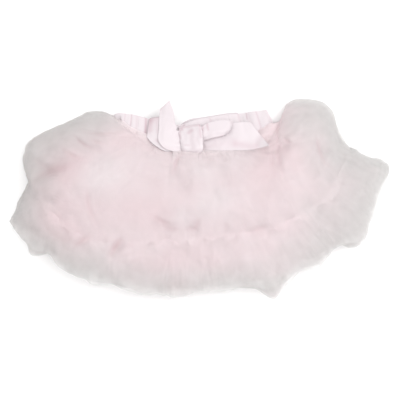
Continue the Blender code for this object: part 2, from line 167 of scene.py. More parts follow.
RIGHT_LOOP = [
    (-4, 76, -4, 92, 2.5), (8, 80, 8, 102, 3.4), (21, 83, 21, 105, 5.4),
    (32, 86.5, 33, 106, 5.9), (38.5, 91.5, 41, 106, 6.6), (43.5, 97.5, 43.5, 105, 8.4),
    (38.5, 91, 41, 106, 10.2), (32, 86.5, 33, 107, 11), (21, 84, 21, 106, 10.2),
    (8, 81, 8, 102, 7.6), (-4, 77, -4, 93, 6.2),
]
KNOT = [
    (-23, 65, 1, 63, 6.4), (-24, 66, 3, 65, 8.6), (-25, 69, 4, 68, 10.2),
    (-26, 76, 4, 75, 10.8), (-27.5, 84, 4, 84, 10.8), (-29, 91, 3, 93, 10.4),
    (-29, 96, 1, 99, 8.4), (-27, 99, -1, 102, 1.9),
]


def curve(rows, at):
    """The smooth curve through rows whose first column says where each lies."""
    rows = np.asarray(rows, float)
    knots, values = rows[:, 0], rows[:, 1:]
    slopes = np.gradient(values, knots, axis=0)
    at = np.clip(at, knots[0], knots[-1])
    i = np.clip(np.searchsorted(knots, at, side="right") - 1, 0, len(knots) - 2)
    step = (knots[i + 1] - knots[i])[..., None]
    s = (at - knots[i])[..., None] / step
    return (
        (1 + 2 * s) * (1 - s) ** 2 * values[i]
        + s * (1 - s) ** 2 * step * slopes[i]
        + s**2 * (3 - 2 * s) * values[i + 1]
        + s**2 * (s - 1) * step * slopes[i + 1]
    )


def joined(xy, z):
    return np.concatenate([xy, z[..., None]], axis=-1)


def ease(x):
    x = np.clip(x, 0, 1)
    return x * x * (3 - 2 * x)


def bell(x):
    """1 at 0, and down to 0 on both sides."""
    return np.exp(-(x**2))


def spread(w):
    """u of an even place w, with gathers closer here and wider there."""
    return (
        w
        + 0.0125 * (np.sin(6 * np.pi * w + 1) - np.sin(1))
        + 0.008 * (np.sin(16 * np.pi * w + 2) - np.sin(2))
    )


def wave(w, count, phase=0):
    """count waves over w, of uneven size, on a few broad ones."""
    size = (
        0.55
        + 0.3 * np.sin(10 * np.pi * w + phase)
        + 0.15 * np.sin(18 * np.pi * w + 0.6 + 2 * phase)
    )
    broad = 0.25 * np.cos(2 * np.pi * round(count * 0.39) * w + 1.7 + phase)
    return size * np.cos(2 * np.pi * count * w + phase) + broad


def plan(u, v):
    """x and y of a net's point: between the waist seam and the hem, and bent by
    the side folds."""
    u, v = np.broadcast_arrays(u, v)
    seam, hem = curve(WAIST, u)[..., :2], curve(HEM, u)
    down = v[..., None]
    along = np.clip(down, 0, 1)

    def bow(fold):
        return curve(fold, v) - (1 - along) * curve(fold, 0) - along * curve(fold, 1)

    reach = WAIST_REACH + (SIDE_REACH - WAIST_REACH) * ease(v / 0.5)
    right_share = ease(1 - (1 - u) / reach)
    sharp = np.clip(1 - (1 - u) / NOTCH_REACH, 0, 1) ** 1.6
    right_share += (sharp - right_share) * ease(1 - v / 0.4)
    return (
        (1 - down) * seam
        + down * hem
        + ease(1 - u / reach)[..., None] * bow(LEFT_FOLD)
        + right_share[..., None] * bow(RIGHT_FOLD)
    )


def seam_v(u):
    return curve(TIER_SEAM, u)[..., 0]


def hem_v(u, layer, further):
    """v of a ruffle's edge, from how far it reaches past the hem's line."""
    reach = curve(REACH, u)[..., ("front", "under", "back").index(layer)] + further
    end = np.ones_like(u)
    length = np.linalg.norm(plan(u, end) - plan(u, 0.9 * end), axis=-1) * 10
    return 1 + reach / length


def facing(turn):
    """The direction so many degrees from +x."""
    return np.cos(np.radians(turn)), np.sin(np.radians(turn))


def turned(xy, x, y, turn):
    """How far points lie from x, y along a direction and across it."""
    c, s = facing(turn)
    dx, dy = xy[..., 0] - x, xy[..., 1] - y
    return c * dx + s * dy, c * dy - s * dx


def puffs(xy, rows=PUFFS):
    total = np.zeros(xy.shape[:-1])
    for x, y, half_length, half_width, turn, share in rows:
        a, b = turned(xy, x, y, turn)
        a, b = a / half_length, b / half_width
        total += share * np.exp(-(a**2 + b**2))
    return total


def back_bottom(w, u, v):
    """The height of the underside of the back over the floor."""
    fade = ease(u / 0.06) * ease((1 - u) / 0.06)
    height = np.maximum(curve(BACK_GATHERS, v)[..., 0], 0)
    return height * fade * np.maximum(wave(w, WAVES / 2, 0.9), 0)


def band_heights(u):
    """The heights of the band's seam and of its free edge. Its left end
    stands up a little, in the net's gathers."""
    arch = curve(ARCH, u)[..., 0]
    side = BAND_SIDE + BAND_LEFT_RISE * ease(1 - u / 0.06)
    seam_z = side + (UPPER_LOFT[0][1] + SEAM_RISE - side) * arch
    return seam_z, side + (curve(WAIST, u)[..., 4] - side) * arch**0.5


def band_point(u, share):
    """The outer face of the waistband's front, from its seam (share 0) to its
    free edge (1)."""
    waist, (seam_z, edge_z) = curve(WAIST, u), band_heights(u)
    share = np.asarray(share, float)[..., None]
    seam, edge = joined(waist[..., :2], seam_z), joined(waist[..., 2:4], edge_z)
    width = np.linalg.norm(edge - seam, axis=-1, keepdims=True)
    start = seam + (edge - seam) / width * 2 * GAP
    return start + (edge - start) * share


def face_height(xy):
    """The height of the band's face, on which the ribbons lie."""
    u = np.interp(xy[..., 0], [r[1] for r in WAIST], [r[0] for r in WAIST])
    waist = curve(WAIST, u)
    share = (xy[..., 1] - waist[..., 1]) / (waist[..., 3] - waist[..., 1])
    seam_z, edge_z = UPPER_LOFT[0][1] + SEAM_RISE, waist[..., 4]
    line = seam_z + (edge_z - seam_z) * np.clip(share, -0.6, 1.15)
    swell = 1.6 * np.clip(1 - (2 * share - 1) ** 2, 0, 1)
    return line + swell


# ---- soft relief


def quintic(x):
    return x**3 * (x * (6 * x - 15) + 10)


def noise(x, y, seed):
    """Smooth noise from about -1 to 1, one swing a unit, the same each run."""
    x, y = np.broadcast_arrays(np.asarray(x, float), np.asarray(y, float))
    xi, yi = np.floor(x).astype(np.int64), np.floor(y).astype(np.int64)
    xf, yf = x - xi, y - yi
    sx, sy = quintic(xf), quintic(yf)

    def corner(dx, dy):
        h = (xi + dx) * 374761393 + (yi + dy) * 668265263 + seed * 974126177
        h = ((h ^ (h >> 13)) * 1274126177) & 0x7FFFFFFF
        angle = ((h ^ (h >> 15)) & 0xFFFF) / 0x10000 * 2 * np.pi
        return np.cos(angle) * (xf - dx) + np.sin(angle) * (yf - dy)

    low = corner(0, 0) * (1 - sx) + corner(1, 0) * sx
    high = corner(0, 1) * (1 - sx) + corner(1, 1) * sx
    return 1.5 * (low * (1 - sy) + high * sy)


def billow(xy, size, seed):
    """Round swellings about 0, with soft creases where they meet."""
    x, y = xy[..., 0] / size, xy[..., 1] / size
    bend = 0.35 * noise(x * 0.6, y * 0.6, seed + 50)
    return 2.4 * (np.sqrt(noise(x + bend, y - bend, seed) ** 2 + 0.004) - 0.28)


def folds(w, share, count, seed, length):
    """Gathers that run down a net, none quite like the next: about count of
    them over w, each about length of the share long."""
    drift = 0.25 * noise(w * count * 0.12, share * 2, seed + 7)
    return noise((w * count) + drift * 3, share / length + 9.3 * seed, seed)


CREASES = [
    # x, y, half_length, half_width, turn in degrees, depth
    (-32, 50, 13, 2.6, 67, 2.6), (-200, 38, 24, 6, 20, 2.6), (-212, 48, 14, 3, 150, 1.6),
    (-132, 88, 22, 2.2, 178, 2.2), (-156, 75, 14, 2.4, 146, 2.4),
    (-137, 77, 9, 2.4, 160, 1.6), (-172, 60, 18, 3, 150, 1.6), (103, 72, 34, 2.4, 92, 2.2),
    (96, 60, 20, 2, 84, 1.8), (115, 79, 7, 2.6, 130, 2.4), (158, 69, 15, 2.6, 110, 2.6),
    (166, 50, 10, 2.6, 128, 1.4), (-147, -8, 22, 3.4, 104, 2.2),
    (-184, -52, 18, 5, 160, 1.1), (-113, -62, 13, 4, 54, 3), (-52, -28, 12, 3, 156, 2.4),
    (-38, -38, 9, 2.6, 176, 1.8), (-4, -32, 8, 3, 68, 1.6), (-12, -38, 8, 2.6, 10, 1.6),
    (34, -34, 4, 3.4, 80, 1.7), (77, -38, 10, 3.4, 16, 1.5), (-158, -55, 12, 3, 32, 2.2),
]


def creases(xy):
    """The main creases: soft troughs between low shoulders."""
    total = np.zeros(xy.shape[:-1])
    for x, y, half_length, half_width, turn, depth in CREASES:
        a, b = turned(xy, x, y, turn)
        a = a / half_length
        b = (b + 0.12 * half_length * a**2) / half_width
        total -= depth * bell(a) * (1 - 0.55 * b**2) * np.exp(-0.6 * b**2)
    return total


SPAN_X, SPAN_Y = (-262, 262), (-140, 142)  # the ground that the rumples cover


def rumples(xy, seed, count, size, height):
    """Small overlapping swells of net: each is a bowed ridge, steep on its
    lower side and drawn out on the other."""
    draw = np.random.default_rng(seed)
    total = np.zeros(xy.shape[:-1])
    for _ in range(count):
        x, y = draw.uniform(*SPAN_X), draw.uniform(*SPAN_Y)
        length = size * draw.uniform(0.6, 1.5)
        width = length * draw.uniform(0.4, 0.85)
        angle = draw.uniform(0.15, 1.5) * np.pi
        tall = height * draw.uniform(0.35, 1) * draw.choice([1, 1, 1, -0.7])
        bow = draw.uniform(-0.9, 0.9)
        dx, dy = xy[..., 0] - x, xy[..., 1] - y
        near = (np.abs(dx) < 3 * length) & (np.abs(dy) < 3 * length)
        if not near.any():
            continue
        dx, dy = dx[near], dy[near]
        c, s = np.cos(angle), np.sin(angle)
        a = (c * dx + s * dy) / length
        b = (c * dy - s * dx) / width + bow * a**2
        shape = np.where(b < 0, bell(b / 0.42), bell(b / 1.15))
        total[near] += tall * bell(a) * shape
    return total


OUTLINE = np.concatenate(
    [
        np.array(LEFT_FOLD)[2:, 1:],
        np.array(HEM)[1:-1, 1:],
        np.array(RIGHT_FOLD)[::-1, 1:][:-3],
    ]
)


def line_distance(xy, a, b):
    """How far points lie from the line between two others."""
    way = b - a
    t = np.clip(((xy - a) @ way) / (way @ way), 0, 1)
    return np.linalg.norm(xy - a - t[..., None] * way, axis=-1)


def from_edge(xy):
    """Distance in from the skirt's outline, its waist apart."""
    best = np.full(xy.shape[:-1], 1e9)
    for a, b in zip(OUTLINE[:-1], OUTLINE[1:]):
        best = np.minimum(best, line_distance(xy, a, b))
    return best


PINK_AND_LIGHT_PATCHES = [
    # as in PUFFS, but how much redder and darker, partly the net's deeper pink and partly
    # painted shade in its hollows, or paler where negative, a painted highlight
    (-192, 30, 56, 42, 80, 0.28), (-188, -46, 46, 30, 150, 0.22),
    (-75, -16, 58, 28, 0, 0.2), (-104, 82, 40, 16, 170, 0.2), (88, 62, 58, 26, 88, 0.32),
    (128, 62, 30, 20, 90, 0.15), (-30, -118, 34, 14, 0, 0.2), (-133, 32, 34, 22, 20, -0.35),
    (16, -3, 26, 18, 10, -0.3), (5, 39, 20, 14, 0, -0.2), (-20, -24, 16, 12, 0, -0.25),
    (-166, 54, 18, 26, 0, 0.2), (-30, -80, 60, 14, 0, 0.16), (60, 53, 36, 14, 0, -0.13),
]
GREY_SHADE_PATCHES = [
    # as in PUFFS, but how much greyer and darker, which is painted shade, or less grey and
    # paler where negative, which is painted light
    (112, -96, 44, 22, 25, -0.4), (88, -117, 30, 12, 20, -0.3),
    (104, 106, 14, 26, 150, -0.45), (132, 126, 22, 14, 20, -0.4),
    (161, 73, 14, 22, 0, -0.35), (-92, -112, 32, 12, 165, -0.28),
    (-134, -70, 22, 18, 0, 0.3), (150, -8, 28, 20, 0, 0.28),
]
RIMS = [
    # as in PUFFS, but how much more of the pale rim's painted light; negative takes it away
    (224, -50, 30, 20, 80, -1), (-166, -40, 20, 20, 0, -0.3),
]
# The grey that the skirt turns towards its outline is partly the thinner net's paler pink
# and partly painted shade.
GREY_REACH = 53  # how far in from its outline the skirt turns grey,
GREY_RIGHT, GREY_TOP, GREY_LEFT = 41, 10, 16  # and how much farther there
RIM_WIDTH = 18


def shades(xy, seed):
    """How far the net has turned from pink to the grey of its edges, which is
    painted shade over the thinner net's paler pink; how near it is to its very
    edge, where a pale rim is painted light; and how deep its pink is, partly its
    own colour, partly painted shade in hollows and creases and painted
    highlights where it is paler."""
    x, y = xy[..., 0], xy[..., 1]
    patch = 0.1 * noise(x / 36, y / 36, seed) + 0.05 * noise(x / 14, y / 14, seed + 1)
    depth = from_edge(xy)
    reach = GREY_REACH + GREY_RIGHT * ease((x - 60) / 110) + GREY_TOP * ease((y - 20) / 50)
    reach = reach + GREY_LEFT * ease((-110 - x) / 90)
    grey = np.clip(ease(1 - depth / reach) + patch + puffs(xy, GREY_SHADE_PATCHES), 0, 1)
    # The pale rim is painted light at the net's edge, with less of it on the left.
    rim = ease(1 - depth / RIM_WIDTH) * (0.6 + 0.4 * ease((x + 220) / 110))
    rim = rim * (1 + puffs(xy, RIMS))
    blush = 0.2 * (1 - grey) + puffs(xy, PINK_AND_LIGHT_PATCHES)
    blush = blush + 0.1 * noise(x / 24, y / 24, seed + 3)
    # Creases get a deeper, darker pink: painted shade.
    blush = blush + 0.13 * np.clip(-creases(xy), 0, 3)
    return grey, rim, np.clip(blush, 0, 1)


def side_fade(u, reach=0.03):
    """0 at the side folds and 1 farther in than reach."""
    return ease(np.minimum(u, 1 - u) / reach)


# ---- materials


class Shader:
    """A new material, with short calls for the nodes that it is made of."""

    def __init__(self, name):
        self.made = bpy.data.materials.new(name)
        self.made.use_nodes = True
        self.made.node_tree.nodes.clear()

    def add(self, kind, inputs=(), **settings):
        """Adds a node, with each input linked to a socket or set to a value."""
        node = self.made.node_tree.nodes.new("ShaderNode" + kind)
        for key, value in settings.items():
            setattr(node, key, value)
        for key, source in dict(inputs).items():
            if isinstance(source, bpy.types.NodeSocket):
                self.made.node_tree.links.new(source, node.inputs[key])
            else:
                node.inputs[key].default_value = source
        return node

    def math(self, operation, a, b=0, clamp=False):
        node = self.add("Math", {0: a, 1: b}, operation=operation, use_clamp=clamp)
        return node.outputs[0]

    def mix(self, share, a, b, blend="MIX"):
        """A colour between two, or the first tinted by the second."""
        inputs = {"Factor": share, "A": a, "B": b}
        return self.add("Mix", inputs, data_type="RGBA", blend_type=blend).outputs["Result"]

    def painted(self, label):
        """The numbers that paint_points gave the piece's points."""
        return self.add("Attribute", attribute_name=label).outputs["Fac"]

    def noise(self, place, scale, detail):
        inputs = {"Vector": place, "Scale": scale, "Detail": detail}
        return self.add("TexNoise", inputs).outputs["Fac"]


PINK = (0.951, 0.891, 0.905, 1)
# A paler colour painted at the net's rim: painted light.
RIM = (0.88, 0.87, 0.865, 1)
# A pink that darkens where it is multiplied in: partly the net's deeper pink, partly
# painted shade.
PINK_SHADE = (0.97, 0.86, 0.875, 1)
CELL = 1.2  # the width of one of the net's holes
RIM_THINS = 0.22  # how much less of the light the threads catch at the rim
GLOW = 0.38  # the share of that light which passes on through them
LEAN = (0.55, 0.55, 1)  # how much of a slope's lean counts in its shade


def tulle(name, grey, cover):
    """Soft net: fine hexagons of thread that let light through, pink in the
    middle and greyer and darker towards the edges, which is painted shade, with
    a pale rim of painted light and a pink tint that paints shade in its hollows.
    cover is the share of the light that its threads catch."""
    net = Shader(name)
    math = net.math
    cloth = net.add("SeparateXYZ", {0: net.add("UVMap", uv_map="Cloth").outputs[0]})
    step = 2 * np.pi / CELL
    waves = []
    for turn in (0, 60, 120):
        c, s = facing(turn)
        across = math(
            "ADD",
            math("MULTIPLY", cloth.outputs[0], c * step),
            math("MULTIPLY", cloth.outputs[1], s * step),
        )
        waves.append(math("COSINE", across))
    holes = math("ADD", math("ADD", waves[0], waves[1]), waves[2])
    # 3 in the middle of a hole, and -1.5 on the threads
    thread = math("SUBTRACT", 0.75, math("MULTIPLY", holes, 0.35), clamp=True)

    cloudy = net.noise(net.add("TexCoord").outputs["Object"], 22, 3)
    drift = math("MULTIPLY", math("SUBTRACT", cloudy, 0.5), 0.35)
    rim = net.painted("rim")
    # Painted shade: the grey darkens the net towards its edges, over its thinner, paler
    # pink.
    colour = net.mix(math("ADD", net.painted("grey"), drift, clamp=True), PINK, grey)
    # Painted light: the pale rim.
    colour = net.mix(rim, colour, RIM)
    # Painted shade in hollows and creases, painted highlight where it is paler, and the
    # net's deeper pink.
    colour = net.mix(net.painted("blush"), colour, PINK_SHADE, "MULTIPLY")

    # Loose threads scatter light all round, so slopes shade less than they lean.
    normal = net.add("NewGeometry").outputs["Normal"]
    eased = net.add("VectorMath", {0: normal, 1: LEAN}, operation="MULTIPLY")
    unit = net.add("VectorMath", {0: eased.outputs[0]}, operation="NORMALIZE")
    lit = {"Color": colour, "Normal": unit.outputs[0]}
    diffuse, through = net.add("BsdfDiffuse", lit), net.add("BsdfTranslucent", lit)
    body = net.add("MixShader", {0: GLOW, 1: diffuse.outputs[0], 2: through.outputs[0]})

    thin = math("SUBTRACT", cover, math("MULTIPLY", rim, RIM_THINS))
    seen = math("MULTIPLY", thread, thin, clamp=True)
    seen = math("MAXIMUM", seen, net.painted("dense"))
    clear = net.add("BsdfTransparent")
    shown = net.add("MixShader", {0: seen, 1: clear.outputs[0], 2: body.outputs[0]})
    net.add("OutputMaterial", {"Surface": shown.outputs[0]})
    return net.made


# Colours of painted shade on the satin: in its folds and creases, and where it turns from
# the light.
SATIN_CREASE_SHADE = (0.5, 0.31, 0.36, 1)
SATIN_TURNED_SHADE = (0.52, 0.485, 0.505, 1)
FLOATS = (900, 5200, 900)  # of the satin's threads, for each metre
FLOAT_HEIGHT = 0.00006  # in metres


def satin(name, colour, roughness):
    """Satin: fine floats that run one way, darker with painted shade in its folds
    and creases and where it turns from the light."""
    cloth = Shader(name)
    place = cloth.add("TexCoord").outputs["Object"]
    stretch = cloth.add("Mapping", {"Vector": place, "Scale": FLOATS})
    floats = cloth.noise(stretch.outputs[0], 1, 1)
    broad = cloth.noise(place, 45, 2)
    tint = cloth.mix(broad, (*[c * 0.94 for c in colour], 1), (*colour, 1))
    # Painted shade in the satin's folds and creases.
    tint = cloth.mix(cloth.painted("deep"), tint, SATIN_CREASE_SHADE)
    # Painted shade where the satin turns from the light.
    tint = cloth.mix(cloth.painted("dull"), tint, SATIN_TURNED_SHADE)
    bump = cloth.add("Bump", {"Strength": 0.25, "Distance": FLOAT_HEIGHT, "Height": floats})
    spans = {"Value": floats, "To Min": roughness - 0.06, "To Max": roughness + 0.08}
    look = {
        "Base Color": tint,
        "Normal": bump.outputs[0],
        "Roughness": cloth.add("MapRange", spans).outputs[0],
        "Sheen Weight": 0.25,
        "Sheen Roughness": 0.4,
        "Specular IOR Level": 0.45,
    }
    shader = cloth.add("BsdfPrincipled", look)
    cloth.add("OutputMaterial", {"Surface": shader.outputs[0]})
    return cloth.made


# The nets' grey is darker than their pink: painted shade towards their edges, over the
# thinner net's paler pink.
GREY = (0.8, 0.782, 0.778, 1)
NET_UPPER = tulle("tulle_upper", GREY, 0.84)
NET_RUFFLE = tulle("tulle_ruffle", GREY, 0.78)
NET_UNDER = tulle("tulle_under", (0.79, 0.772, 0.768, 1), 0.74)
SATIN_CLOTH = satin("satin", (0.74, 0.672, 0.7), 0.36)


# ---- meshes


def mesh_object(name, points, faces, material, smooth=True):
    """A piece from its points, in millimetres, and its faces."""
    mesh = bpy.data.meshes.new(name)
    flat = np.asarray(faces, np.int32)
    corners = flat.shape[1]
    mesh.vertices.add(len(points))
    places = (np.asarray(points) * MM).astype(np.float32)
    mesh.vertices.foreach_set("co", places.ravel())
    mesh.loops.add(flat.size)
    mesh.loops.foreach_set("vertex_index", flat.ravel())
    mesh.polygons.add(len(flat))
    starts = np.arange(0, flat.size, corners, dtype=np.int32)
    mesh.polygons.foreach_set("loop_start", starts)
    mesh.update(calc_edges=True)
    mesh.validate()
    mesh.materials.append(material)
    if smooth:
        mesh.shade_smooth()
    made = bpy.data.objects.new(name, mesh)
    bpy.context.scene.collection.objects.link(made)
    return made


def paint_points(made, **shares):
    """Gives each point of a piece the numbers that its material reads."""
    for label, share in shares.items():
        values = made.data.attributes.new(label, "FLOAT", "POINT")
        values.data.foreach_set("value", np.clip(share, 0, 1).astype(np.float32).ravel())


def quads(rows, columns, down, across):
    """Faces of a grid of points. down and across are 1 where it closes on
    itself that way, and 0 where it doesn't."""
    k = np.arange(rows * columns).reshape(rows, columns)
    k = np.pad(k, ((0, down), (0, across)), mode="wrap")
    return np.stack([k[:-1, :-1], k[1:, :-1], k[1:, 1:], k[:-1, 1:]], -1).reshape(-1, 4)


def steps(points, axis, **more):
    """How far each point lies from the next along an axis."""
    return np.linalg.norm(np.diff(points, axis=axis, **more), axis=-1)


def sums(lengths):
    """How far along each point lies, from 0."""
    return np.concatenate([[0], np.cumsum(lengths)])


def all_round(front):
    """A front's numbers, and the same again over its back."""
    return np.concatenate([front, front[:, -2:0:-1]], axis=1)


def tube(name, front, back, tint, material, dense=None):
    """A net from its front and back grids, which meet at the side folds. Gives
    the piece and its flat size in metres."""
    rows = len(front)
    for j in (0, -1):
        front[:, j] = (front[:, j] + back[:, j]) / 2
    ring = np.concatenate([front, back[:, -2:0:-1]], axis=1)
    ring[..., 2] = np.maximum(ring[..., 2], NET_LOWEST)
    n = ring.shape[1]
    made = mesh_object(name, ring.reshape(-1, 3), quads(rows, n, 0, 1), material)
    across = steps(ring, 1, append=ring[:, :1]).mean(0)
    s, t = sums(across), sums(steps(ring, 0).mean(1))
    mesh = made.data
    index = np.empty(len(mesh.loops), np.int32)
    mesh.loops.foreach_get("vertex_index", index)
    row, column = index // n, index % n
    # The last quad of a row ends where the cloth's width ends, not at 0.
    first = np.repeat(column.reshape(-1, 4)[:, 0], 4)
    column = np.where((first == n - 1) & (column == 0), n, column)
    places = np.stack([s[column], t[row]], -1).astype(np.float32)
    mesh.uv_layers.new(name="Cloth").data.foreach_set("uv", places.ravel())
    grey, rim, blush = (all_round(t) for t in tint)
    paint_points(made, grey=grey, rim=rim, blush=blush)
    if dense is not None:
        paint_points(made, dense=all_round(dense))
    return made, (float(s[-1]) * MM, float(t[-1]) * MM)


UPPER_COLUMNS, UPPER_ROWS = 340, 96
RUFFLE_COLUMNS, RUFFLE_ROWS = 420, 52


def grid(columns, rows, inset, closer=1):
    """A grid's points. closer above 1 sets its first rows closer together."""
    w = np.linspace(inset, 1 - inset, columns + 1)[None, :]
    share = np.linspace(0, 1, rows + 1)[:, None] ** closer
    w, share = np.broadcast_arrays(w, share)
    return w, share, spread(w)


def lobed(xy, u, v, seed):
    """Ruffles the side folds: small lobes that stand out and in by a few
    millimetres and die away inside the net."""
    size = 2.4 * noise(v * 13, 0.5, seed + 21) + 1.5 * noise(v * 31, 0.5, seed + 22)
    size = size * ease(v / 0.06)
    left, right = np.exp(-u / 0.022), np.exp(-(1 - u) / 0.022)
    out = np.stack([right - left, 0.5 * (left + right)], axis=-1)
    return xy + size[..., None] * out


# Where along a ribbon its pleats are
def at_start(reach):
    return lambda a, end: ease(1 - a / reach)


def at_both(reach):
    return lambda a, end: np.maximum(ease(1 - a / reach), ease(1 - (end - a) / reach))


def near_line(xy, x1, y1, x2, y2, half_width):
    """1 on the line between two points and 0 well away from it."""
    ends = np.array([[x1, y1], [x2, y2]], float)
    return bell(line_distance(xy, *ends) / half_width)


MARKS = {
    # piece: where painted shade darkens its satin, in its folds and creases, and
    # where it turns from the light, as x1, y1, x2, y2, half_width, how much
    "satin_waistband": (
        [
            (63.5, 109, 62.5, 117, 0.8, 0.55), (-70, 110, -74, 87, 2, 0.12),
            (-25, 100, -22, 100, 1.1, 0.6),
        ],
        [
            (-115, 113, -109, 113, 5, 0.45), (60, 100, 64, 116, 9, 0.36),
            (84, 102, 86, 118, 6, 0.26),
        ],
    ),
    "ribbon_tail_left": (
        [(-54, 121, -43, 133, 1.6, 0.16), (-52, 72, -36, 67, 2, 0.1)],
        [(-50, 126, -42, 118, 9, 0.22)],
    ),
    "ribbon_tail_right": (
        [(48, 75, 74, 70, 5, 0.22), (76, 74, 84, 88, 4, 0.2), (10, 74, 44, 76, 8, 0.12)],
        [(80, 76, 92, 72, 8, 0.24)],
    ),
    "ribbon_loop_left": (
        [
            (-68, 108, -56, 112, 6, 0.38), (-67, 106, -67, 94, 4.4, 0.36),
            (-58, 104, -57, 90, 1.6, 0.22), (-58, 80, -56, 78, 2, 0.3),
        ],
        [(-62, 112, -58, 70, 8, 0.18)],
    ),
    "ribbon_loop_right": (
        [
            (4, 102, 2, 82, 1.7, 0.42), (9, 103, 11, 94, 1.5, 0.38),
            (8, 80, 30, 85, 1.4, 0.16), (42, 105, 42, 97, 1.8, 0.22),
            (42, 97, 36, 90, 1.8, 0.2), (36, 90, 28, 85.5, 1.6, 0.14),
        ],
        [(42, 105, 42, 97, 1.8, 0.45), (42, 97, 34, 88, 2, 0.5)],
    ),
    "ribbon_knot": (
        [
            (-22, 97.5, 1, 101, 1.6, 0.5), (-25, 100, -22, 100, 1.1, 0.6),
            (-15, 90, -11, 93, 2.6, 0.42), (-1, 100, 1, 84, 1.5, 0.34),
            (-20, 73, -15, 73, 1.2, 0.26), (-25, 98, -24, 94, 1.6, 0.55),
            (-28, 98, -26, 82, 1.2, 0.36), (-10, 84, -8, 68, 4.5, 0.12),
        ],
        [(-12, 70, -12, 98, 14, 0.2)],
    ),
}


def tints(name, xy):
    """How much painted shade a piece of satin gets in its folds and creases, and where it
    turns from the light.
    """
    return [
        sum((much * near_line(xy, *line) for *line, much in rows), 0 * xy[..., 0])
        for rows in MARKS[name]
    ]


RIBBON_ROWS, RIBBON_COLUMNS = 110, 26
PLEAT = 0.6  # height of a pleat


def ribbon_surface(name, rows, pleats, seed, droop, sides):
    """The middle of a strip of ribbon through its cross-lines, with soft
    pleats. droop bends its first edge down, at its start and at its end, and
    sides bends both its edges down."""
    rows = np.asarray(rows, float)
    middle = (rows[:, 0:2] + rows[:, 2:4]) / 2
    t = sums(steps(np.c_[middle, rows[:, 4]], 0))
    end = t[-1]
    line = curve(np.c_[t, rows], np.linspace(0, end, RIBBON_ROWS + 1))
    a = np.linspace(0, end, RIBBON_ROWS + 1)[:, None]
    b = np.linspace(0, 1, RIBBON_COLUMNS + 1)[None, :]
    s = b[..., None]
    xy = line[:, None, 0:2] * (1 - s) + line[:, None, 2:4] * s
    turns = b * 3.1 + 0.5 * noise(a / 15, b * 1.3, seed) + 0.1
    pleat = pleats(a, end) * PLEAT * np.cos(2 * np.pi * turns)
    droops = droop[0] + (droop[1] - droop[0]) * ease((a / end - 0.5) / 0.14)
    lift = (
        line[:, None, 4]
        + RIBBON / 2
        + pleat
        + 0.5 * noise(a / 17, b * 1.6, seed + 1)
        + 0.25 * noise(a / 7, b * 3.1, seed + 2)
        - droops * ease(1 - b / 0.4)
        - sides * (ease(1 - b / 0.12) + ease((b - 0.88) / 0.12))
    )
    surface = joined(xy, face_height(xy) + lift)
    # Painted shade in the folds and where the ribbon turns from the light, with more in the
    # pleats' troughs.
    deep, dull = tints(name, xy)
    return surface, b, (deep + 0.1 * np.clip(-pleat / PLEAT, 0, 1), dull)


RIBBONS = [
    # piece, node, its cross-lines, pleats, seed, droop, sides
    ("ribbon_tail_left", "bow_tail_left", LEFT_TAIL, at_start(24), 301, (2.2, 1), 0),
    ("ribbon_tail_right", "bow_tail_right", RIGHT_TAIL, at_start(34), 311, (0.6, 1), 0),
    ("ribbon_loop_left", "bow_loop_left", LEFT_LOOP, at_both(20), 321, (0, 1.2), 0),
    ("ribbon_loop_right", "bow_loop_right", RIGHT_LOOP, at_both(22), 331, (0, 3.2), 0),
    ("ribbon_knot", "bow_knot", KNOT, lambda a, end: 0.6 + 0 * a, 341, (0, 0), 2.4),
]
BOW = [(name, node, ribbon_surface(name, *shape)) for name, node, *shape in RIBBONS]
BOW_BOX = (-84, 106, 44, 104)  # x and y of the nets' points that bend to the bow
BOW_REACH = 14  # how far from the bow they still do
BOW_LIFTS = (-20, 12)  # the most that they go down and up


def meet_bow(front, down, lap):
    """Brings a net up to the ribbons that lie over it, and keeps it under
    them. down is the distance from the waist seam, and lap how far short of
    the seam the net starts."""
    surfaces = np.stack([surface for _, _, (surface, _, _) in BOW])
    rows, columns = surfaces.shape[1:3]
    faces = quads(rows, columns, 0, 0)
    faces = np.concatenate([faces + n * rows * columns for n in range(len(BOW))])
    bow = BVHTree.FromPolygons(surfaces.reshape(-1, 3).tolist(), faces.tolist())

    def foot(i, j, z=0):
        return front[i, j, 0], front[i, j, 1], z

    x, y = front[..., 0], front[..., 1]
    left, right, low, high = BOW_BOX
    here = np.argwhere((x > left) & (x < right) & (y > low) & (y < high))
    found, heights = [], []
    for i, j in here:
        hit = bow.ray_cast(foot(i, j, -5), (0, 0, 1))[0]
        if hit is not None:
            found.append((i, j))
            heights.append(hit.z)
    ground = kdtree.KDTree(len(found))
    for n, (i, j) in enumerate(found):
        ground.insert(foot(i, j), n)
    ground.balance()
    for i, j in here:
        _, n, away = ground.find(foot(i, j))
        meets = heights[n] + (0.4 + 0.25 * away if away > 0.05 else -0.5)
        lift = np.clip(meets - front[i, j, 2], *BOW_LIFTS) * bell(away / BOW_REACH)
        reached = ease((down[i, j] + lap[i, j]) / (0.9 * lap[i, j] + 2))
        front[i, j, 2] += lift * (reached if lift > 0 else 1)
    return front


LIPS = [
    # x, half_width, reach, of the upper tier's free edge over the ruffle
    (-196, 16, 5), (-160, 12, 9), (-134, 10, 5), (-113, 9, 11), (-80, 12, 5), (-50, 11, 10),
    (-28, 8, 6), (-8, 9, 9), (14, 8, 5), (37, 8, 8), (58, 9, 4), (79, 9, 9), (108, 12, 5),
    (140, 12, 8), (172, 14, 5), (204, 12, 7),
]


def lip(x):
    """How far the upper tier's edge reaches over the ruffle, in scallops."""
    reach = 3 + 0 * x
    for at, half, more in LIPS:
        reach = reach + more * np.clip(1 - ((x - at) / half) ** 2, 0, 1) ** 0.7
    return reach


